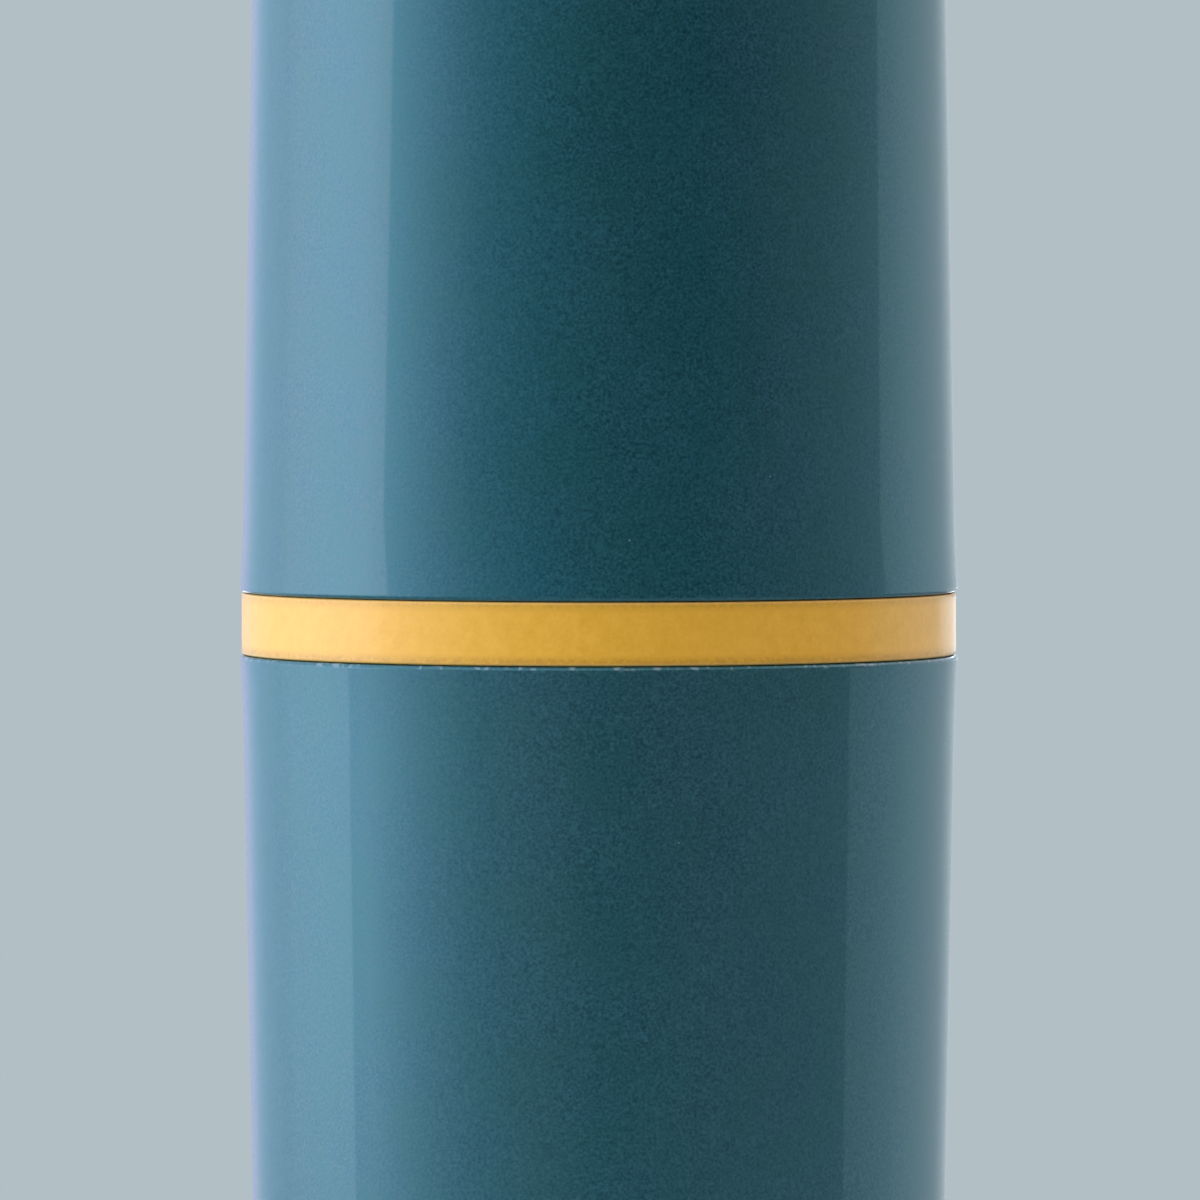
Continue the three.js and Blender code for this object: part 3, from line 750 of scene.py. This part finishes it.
def rack_moulding():
    """A plate with a notch over each key, and along each opening a sleeve whose lip stands proud."""
    plate_low = rack_lip_top - GUIDE_LIP - RACK_THICKNESS
    plate_high = plate_low + RACK_THICKNESS
    angles = key_turn()
    across = np.abs(np.sin(angles)) * rack_radius
    notch = np.clip((KEY_WIDTH / 2 + SEAT_GAP - across) / EDGE_ROUND + 0.5, 0, 1) * (KEY_DEPTH + SEAT_GAP)
    rim = (rack_radius - notch)[:, None] * np.stack([np.cos(angles), np.sin(angles)], 1)
    turns = np.radians(BRUSH_HOLE_ANGLES)
    centres = RACK_OPENING_RADIUS * np.stack([np.cos(turns), np.sin(turns)], 1)

    def openings(margin):
        """Loops round the brush holes, the paste slot and the comb slot, a margin outside them."""
        return [
            *(circle(RACK_OPENING_WIDTH / 2 + margin, centre=centre) for centre in centres),
            bent_slot(RACK_OPENING_RADIUS, RACK_OPENING_WIDTH + 2 * margin, *PASTE_SLOT_ANGLES),
            bent_slot(RACK_OPENING_RADIUS, COMB_SLOT_WIDTH + 2 * margin, *COMB_SLOT_ANGLES),
        ]

    sleeve = rounded([
        (-GUIDE_WALL, plate_low - GUIDE_HEIGHT, EDGE_ROUND),
        (0, plate_low - GUIDE_HEIGHT, 2 * EDGE_ROUND),
        (0, rack_lip_top, 2 * EDGE_ROUND),
        (-GUIDE_WALL, rack_lip_top, 2 * EDGE_ROUND),
    ], True)
    post_hole = circle(POST_RADIUS + SEAT_GAP)
    flat = plate(rim, [*openings(GUIDE_WALL / 2), post_hole], plate_low, plate_high, EDGE_ROUND)
    return together(flat, *(carried(sleeve, loop[::-1], True) for loop in openings(0)))


def post_outline():
    """A plain rod with chamfered ends, and a coned shoulder that the rack sits on."""
    shoulder_top = knob_low - 2 * SEAT_GAP - RACK_THICKNESS
    cone_top = shoulder_top - POST_SHOULDER_HEIGHT
    return rounded([
        (0, post_low, 0),
        (POST_RADIUS - POST_END_CHAMFER, post_low, EDGE_ROUND),
        (POST_RADIUS, post_low + POST_END_CHAMFER, EDGE_ROUND),
        (POST_RADIUS, cone_top - shoulder_radius + POST_RADIUS, 4 * EDGE_ROUND),
        (shoulder_radius, cone_top, 2 * EDGE_ROUND),
        (shoulder_radius, shoulder_top, EDGE_ROUND),
        (POST_RADIUS, shoulder_top, EDGE_ROUND),
        (POST_RADIUS, post_high - POST_END_CHAMFER, EDGE_ROUND),
        (POST_RADIUS - POST_END_CHAMFER, post_high, EDGE_ROUND),
        (0, post_high, 0),
    ], False)


def knob_outline():
    """A blind bore inside, and outside a smooth curve through a waist and over a domed head, with three
    bell-shaped furrows round the waist."""
    height = knob_high - knob_low
    bore = POST_RADIUS + SEAT_GAP
    grip = [(knob_radius - sunk * KNOB_WAIST_DEPTH, up * height) for up, sunk in KNOB_GRIP]
    head = [(out * knob_radius, up * height) for out, up in KNOB_HEAD]
    curve = through(grip + head, KNOB_CURVE_STEPS)
    furrows = height * np.array(KNOB_FURROWS)
    depths = np.exp(-((curve[:, 1:] - furrows) / KNOB_FURROW_WIDTH) ** 2).sum(1)
    curve[:, 0] -= KNOB_FURROW_DEPTH * depths
    curve[-1, 0] = 0
    inside = rounded([
        (0, KNOB_BORE_DEPTH, 0),
        (bore, KNOB_BORE_DEPTH, EDGE_ROUND),
        (bore, 0, EDGE_ROUND),
        (knob_radius, 0, EDGE_ROUND),
        tuple(curve[0]) + (0,),
    ], False)
    return np.concatenate([inside[:-1], curve]) + [0, knob_low]


def drain_ring_radius(out):
    """The radius of a ring of drain slots, from its place between the boss and the rim."""
    return TRAY_BOSS_RADIUS + out * (TRAY_FLOOR_RADIUS - TRAY_BOSS_RADIUS)


def drain_slots():
    """Rings of bent slots, each slot open over a share of its ring's pitch."""
    slots = []
    for count, out, opening, turn in DRAIN_RINGS:
        pitch = 360 / count
        reach = pitch * opening / 2
        for middle in (np.arange(count) + turn) * pitch:
            ends = middle - reach, middle + reach
            slots.append(bent_slot(drain_ring_radius(out), DRAIN_SLOT_WIDTH, *ends, *DRAIN_SLOT_STEPS))
    return slots


def tray_moulding():
    """A floor with rings of bent drain slots, a sloped rim round it, a boss with a fillet at its root,
    and feet under the land between the outer slots and the rim."""
    step, bore = TRAY_FLOOR_STEP, POST_RADIUS + SEAT_GAP
    outer_ring_place = DRAIN_RINGS[-1][1]
    land_inside = drain_ring_radius(outer_ring_place) + DRAIN_SLOT_WIDTH / 2
    land_outside = tray_radius - TRAY_RIM_SLOPE
    floor_edge = (land_inside + TRAY_FLOOR_RADIUS) / 2
    floor_hole = TRAY_BOSS_RADIUS + TRAY_BOSS_ROOT / 2
    holes = [circle(floor_hole), *drain_slots()]
    floor = plate(circle(floor_edge, FINE_TURN), holes, step, TRAY_FLOOR - step, step)
    rim = rounded([
        (land_inside + EDGE_ROUND, 0, step),
        (land_outside, 0, 2 * EDGE_ROUND),
        (tray_radius, TRAY_RIM_HEIGHT, 2 * EDGE_ROUND),
        (tray_radius - TRAY_RIM_WALL, TRAY_RIM_HEIGHT, 2 * EDGE_ROUND),
        (TRAY_FLOOR_RADIUS, TRAY_FLOOR, 4 * EDGE_ROUND),
        (land_inside + EDGE_ROUND, TRAY_FLOOR, step),
    ], True)
    boss = rounded([
        (0, 0, 0),
        (TRAY_BOSS_RADIUS + TRAY_BOSS_ROOT, 0, step),
        (TRAY_BOSS_RADIUS + TRAY_BOSS_ROOT, TRAY_FLOOR, step),
        (TRAY_BOSS_RADIUS, TRAY_FLOOR, 4 * EDGE_ROUND),
        (TRAY_BOSS_RADIUS, TRAY_FLOOR + TRAY_BOSS_HEIGHT, 2 * EDGE_ROUND),
        (bore, TRAY_FLOOR + TRAY_BOSS_HEIGHT, 2 * EDGE_ROUND),
        (bore, TRAY_BOSS_FLOOR, EDGE_ROUND),
        (0, TRAY_BOSS_FLOOR, 0),
    ], False)
    foot_radius = (land_outside - land_inside) / 2 - TRAY_FOOT_MARGIN
    foot = rounded([
        (0, -TRAY_FOOT_HEIGHT, 0),
        (foot_radius, -TRAY_FOOT_HEIGHT, 2 * EDGE_ROUND),
        (foot_radius, TRAY_FLOOR / 2, EDGE_ROUND),
        (0, TRAY_FLOOR / 2, 0),
    ], False)
    foot_points, foot_faces = turned(foot, even_turn(SMALL_TURN // 2))
    turns = np.radians(TRAY_FOOT_ANGLES)
    places = (land_inside + land_outside) / 2 * np.stack([np.cos(turns), np.sin(turns), 0 * turns], 1)
    feet = [(foot_points + place, foot_faces) for place in places]
    whole, faces = together(floor, turned(rim, fine), turned(boss, even_turn(SMALL_TURN)), *feet)
    return whole + [0, 0, tray_foot_low + TRAY_FOOT_HEIGHT], faces


small = even_turn(SMALL_TURN)
piece("rack_moulding", rack_moulding(), white_satin, "caddy", "white_plastic", "brush_rack")
piece("post_moulding", turned(post_outline(), small), white_satin, "caddy", "white_plastic", "caddy_post")
piece("knob_moulding", turned(knob_outline(), small), yellow_satin, "caddy", "yellow_plastic", "pull_knob")
piece("tray_moulding", tray_moulding(), white_satin, "caddy", "white_plastic", "drip_tray")


# Studio

CAMERA_DISTANCE = 0.8767
CAMERA_ABOVE_BAND = 0.02534
CAMERA_ASIDE = 0.00012
CAMERA_PITCH_DEGREES = 1.708
CAMERA_LENS, CAMERA_SENSOR = 269.8, 36
CAMERA_NEAR, CAMERA_FAR = 0.01, 100
BACKDROP = (0.445, 0.521, 0.558)
FLOOR_COLOUR = (0.437, 0.532, 0.528)
FLOOR_RADIUS = 0.5
FLOOR_FADE = (0.35, 0.95)


def add_camera():
    """A long lens in front of the mug, a little above the band and looking slightly down."""
    data = bpy.data.cameras.new("camera")
    data.sensor_width = CAMERA_SENSOR
    data.lens = CAMERA_LENS
    data.clip_start = CAMERA_NEAR
    data.clip_end = CAMERA_FAR
    camera = bpy.data.objects.new("camera", data)
    camera.location = (CAMERA_ASIDE, -CAMERA_DISTANCE, band_high + CAMERA_ABOVE_BAND)
    camera.rotation_euler = (math.radians(90 - CAMERA_PITCH_DEGREES), 0, 0)
    bpy.context.scene.collection.objects.link(camera)
    bpy.context.scene.camera = camera


def add_floor():
    """A pale floor that fades out round the mug, so that it meets the backdrop without a line."""
    recipe = new_recipe("pale_floor")
    where = recipe.place()
    distance = recipe.add("ShaderNodeVectorMath", {"operation": "LENGTH"}, {0: where}, "Value")
    cover = 1 - recipe.eased(distance, *(share * FLOOR_RADIUS for share in FLOOR_FADE))
    matt = recipe.add("ShaderNodeBsdfDiffuse", {}, {"Color": (*FLOOR_COLOUR, 1)})
    clear = recipe.add("ShaderNodeBsdfTransparent", {}, {})
    surface = recipe.add("ShaderNodeMixShader", {}, {0: cover, 1: clear, 2: matt})
    recipe.add("ShaderNodeOutputMaterial", {}, {"Surface": surface})
    mesh = bpy.data.meshes.new("floor")
    rim = circle(FLOOR_RADIUS)
    mesh.from_pydata(np.pad(rim, ((0, 0), (0, 1))).tolist(), [], [list(range(SMALL_TURN))])
    mesh.materials.append(recipe.owner)
    floor = bpy.data.objects.new("floor", mesh)
    bpy.context.scene.collection.objects.link(floor)


# The room, in degrees of azimuth, which runs from the camera, to the left where positive, and of height.
# What the cups and the band reflect towards the camera lies near the horizon: the upper cup's above the
# band's, and the lower cup's below it. A step is given by where it starts and where it ends.

# The room's brightness as (azimuth, level) stops in six belts, each up to its own height
BELTS = (
    (-12, ((-60, 0), (50, 0), (75, 1.6), (110, 1.6), (150, 0.8))),
    (0, ((-150, 0.1), (-120, 0.4), (-60, 0.35), (0, 0.2), (40, 0.65), (60, 1.4), (80, 2.3), (100, 1.5),
         (125, 0.2), (150, 0.1))),
    (10, ((-150, 0.1), (-120, 0.4), (-90, 0.35), (-30, 0), (20, 0.05), (40, 0.35), (60, 1.3), (80, 2.3),
          (100, 1.5), (125, 0.2), (150, 0.1))),
    (25, ((-120, 0.9), (-60, 0), (0, 0), (45, 1.1), (90, 1.8), (135, 1.1))),
    (58, ((-150, 1.2), (-100, 1.5), (-50, 0.7), (0, 1.2), (50, 1.9), (100, 1.7), (150, 1))),
    (90, ((0, 0.8),)),
)
BELT_EASE = 1.5
BRIGHTEST = 4

# Below these heights lies what the band reflects, and what the lower cup does
BAND_REFLECTION, LOWER_REFLECTION = -1, -3

# The two panels: their brightness, the azimuths of their edges, and how much further left the edges
# stand at the band's reflection, and again at the lower cup's. The left one fades towards the back.
LEFT_PANEL, LEFT_EDGE, LEFT_SHIFTS = 1.4, 73.5, (1, 13)
RIGHT_PANEL, RIGHT_EDGE, RIGHT_SHIFTS = 0.55, -102.8, (5.4, 9.4)
LEFT_FADE = ((116, 1), (140, 0.68), (158, 0.7), (173, 0.42))
PANEL_SLANT = 0.6
PANEL_EASE = 0.3
PANEL_TOP, PANEL_FOOT = (12, 10), (-14, -12)

# Behind the mug: the backdrop at the left, a line and a faint light at the right, three corner lights
BACK_START = (148, 152)
FAR_LINE, FAR_LINE_HEIGHT, FAR_LINE_STEP, FAR_LINE_START = 1.7, -1.8, (0.44, 0.2), (138, 148)
CORNER_LIGHT, CORNER_FOOT, CORNER_TOP, CORNER_START = 4.5, (6.5, 7.5), (22, 18), (165, 170)
EDGE_GLOW, EDGE_GLOW_START = 0.16, (144, 160)

# The colours of the light, and the azimuths over which some of them come in
RIGHT_LIGHT = (1.2, 0.97, 0.965, 1)
LEFT_LIGHT, LEFT_START = (1.02, 1.0, 1.16, 1), (0, 60)
LEFT_PANEL_LIGHT, LEFT_PANEL_FOOT_LIGHT = (1.1, 1.0, 1.17, 1), (0.94, 0.99, 1.14, 1)
FAR_LEFT_LIGHT, FAR_LEFT_START = (0.82, 1.07, 1.36, 1), (112, 150)
EDGE_LIGHT, EDGE_START = (1.0, 0.96, 1.3, 1), (145, 162)
RIGHT_PANEL_LIGHT = (0.94, 1.04, 1.11, 1)


def by_azimuth(recipe, azimuth, stops):
    """A level that follows (azimuth, level) stops round the room."""
    stops = ((turn / 360 + 0.5, level / BRIGHTEST) for turn, level in stops)
    return recipe.ramp(azimuth * (1 / 360) + 0.5, *stops) * BRIGHTEST


def belts(recipe, azimuth, height):
    """The brightness of the belts, each of which runs into the next one over a small step in height."""
    below, stops = BELTS[0]
    bright = by_azimuth(recipe, azimuth, stops)
    for top, stops in BELTS[1:]:
        rise = recipe.eased(height, below - BELT_EASE, below + BELT_EASE)
        bright = bright * (1 - rise) + by_azimuth(recipe, azimuth, stops) * rise
        below = top
    return bright


def panel(recipe, azimuth, height, edge, shifts):
    """1 on a panel that reaches, near the horizon, from its edge to behind the mug. The edge is sharp,
    leans above the band's reflection, and is shifted for that and for the lower cup's."""
    in_band, in_lower = height.less_than(BAND_REFLECTION), height.less_than(LOWER_REFLECTION)
    slant = PANEL_SLANT * height * (1 - in_band)
    turn = azimuth + slant - shifts[0] * in_band - shifts[1] * in_lower
    inside = recipe.eased(turn * math.copysign(1, edge), abs(edge) - PANEL_EASE, abs(edge) + PANEL_EASE)
    return inside * recipe.eased(height, *PANEL_TOP) * recipe.eased(height, *PANEL_FOOT)


def corner_lights(recipe, azimuth, height):
    """1 on three spots behind the mug: one above and one below at the right, and one below at the left."""
    spots = recipe.eased(abs(height), *CORNER_FOOT) * recipe.eased(abs(height), *CORNER_TOP)
    spots = spots * recipe.eased(abs(azimuth), *CORNER_START)
    return spots * (1 - azimuth.more_than(0) * height.more_than(0))


def add_room():
    """The world: camera and transmission rays meet the plain backdrop, and all others the room. Its
    belts run into each other, two sharp panels stand near the horizon, and behind the mug are the far
    line, the corner lights, a faint light at the right, and at the left, past the panel, the backdrop."""
    world = bpy.data.worlds.new("room")
    bpy.context.scene.world = world
    recipe = Recipe(world)
    x, y, z = recipe.parts(recipe.add("ShaderNodeTexCoord", {}, {}, "Generated"))
    degrees = 180 / math.pi
    azimuth = recipe.add("ShaderNodeMath", {"operation": "ARCTAN2"}, {0: 0 - x, 1: 0 - y}) * degrees
    height = recipe.add("ShaderNodeMath", {"operation": "ARCSINE"}, {0: z}) * degrees
    rightward = 0 - azimuth
    left = panel(recipe, azimuth, height, LEFT_EDGE, LEFT_SHIFTS)
    right = panel(recipe, azimuth, height, RIGHT_EDGE, RIGHT_SHIFTS)
    line = recipe.eased(abs(height - FAR_LINE_HEIGHT), *FAR_LINE_STEP)
    line = line * recipe.eased(rightward, *FAR_LINE_START)
    corner = corner_lights(recipe, azimuth, height)
    bright = belts(recipe, azimuth, height)
    bright = bright + LEFT_PANEL * left * by_azimuth(recipe, azimuth, LEFT_FADE) + RIGHT_PANEL * right
    bright = bright + EDGE_GLOW * recipe.eased(rightward, *EDGE_GLOW_START)
    bright = bright + FAR_LINE * line + CORNER_LIGHT * corner
    colour = recipe.mixed(recipe.eased(azimuth, *LEFT_START), RIGHT_LIGHT, LEFT_LIGHT)
    colour = recipe.mixed(left, colour, LEFT_PANEL_LIGHT)
    colour = recipe.mixed(left * height.less_than(LOWER_REFLECTION), colour, LEFT_PANEL_FOOT_LIGHT)
    colour = recipe.mixed(recipe.eased(azimuth, *FAR_LEFT_START), colour, FAR_LEFT_LIGHT)
    colour = recipe.mixed(recipe.eased(abs(azimuth), *EDGE_START), colour, EDGE_LIGHT)
    colour = recipe.mixed(right, colour, RIGHT_PANEL_LIGHT)
    back = recipe.eased(azimuth, *BACK_START) * (1 - left) * (1 - line) * (1 - corner)
    rays = recipe.add("ShaderNodeLightPath", {}, {}, "Is Camera Ray")
    seen = rays + Field(recipe, rays.socket.node.outputs["Is Transmission Ray"])
    room = recipe.add("ShaderNodeBackground", {}, {"Color": colour, "Strength": bright})
    backdrop = recipe.add("ShaderNodeBackground", {}, {"Color": (*BACKDROP, 1), "Strength": 1.0})
    share = seen + back - seen * back
    surface = recipe.add("ShaderNodeMixShader", {}, {0: share, 1: room, 2: backdrop})
    recipe.add("ShaderNodeOutputWorld", {}, {"Surface": surface})


add_camera()
add_floor()
add_room()
bpy.context.scene.view_settings.view_transform = "Standard"
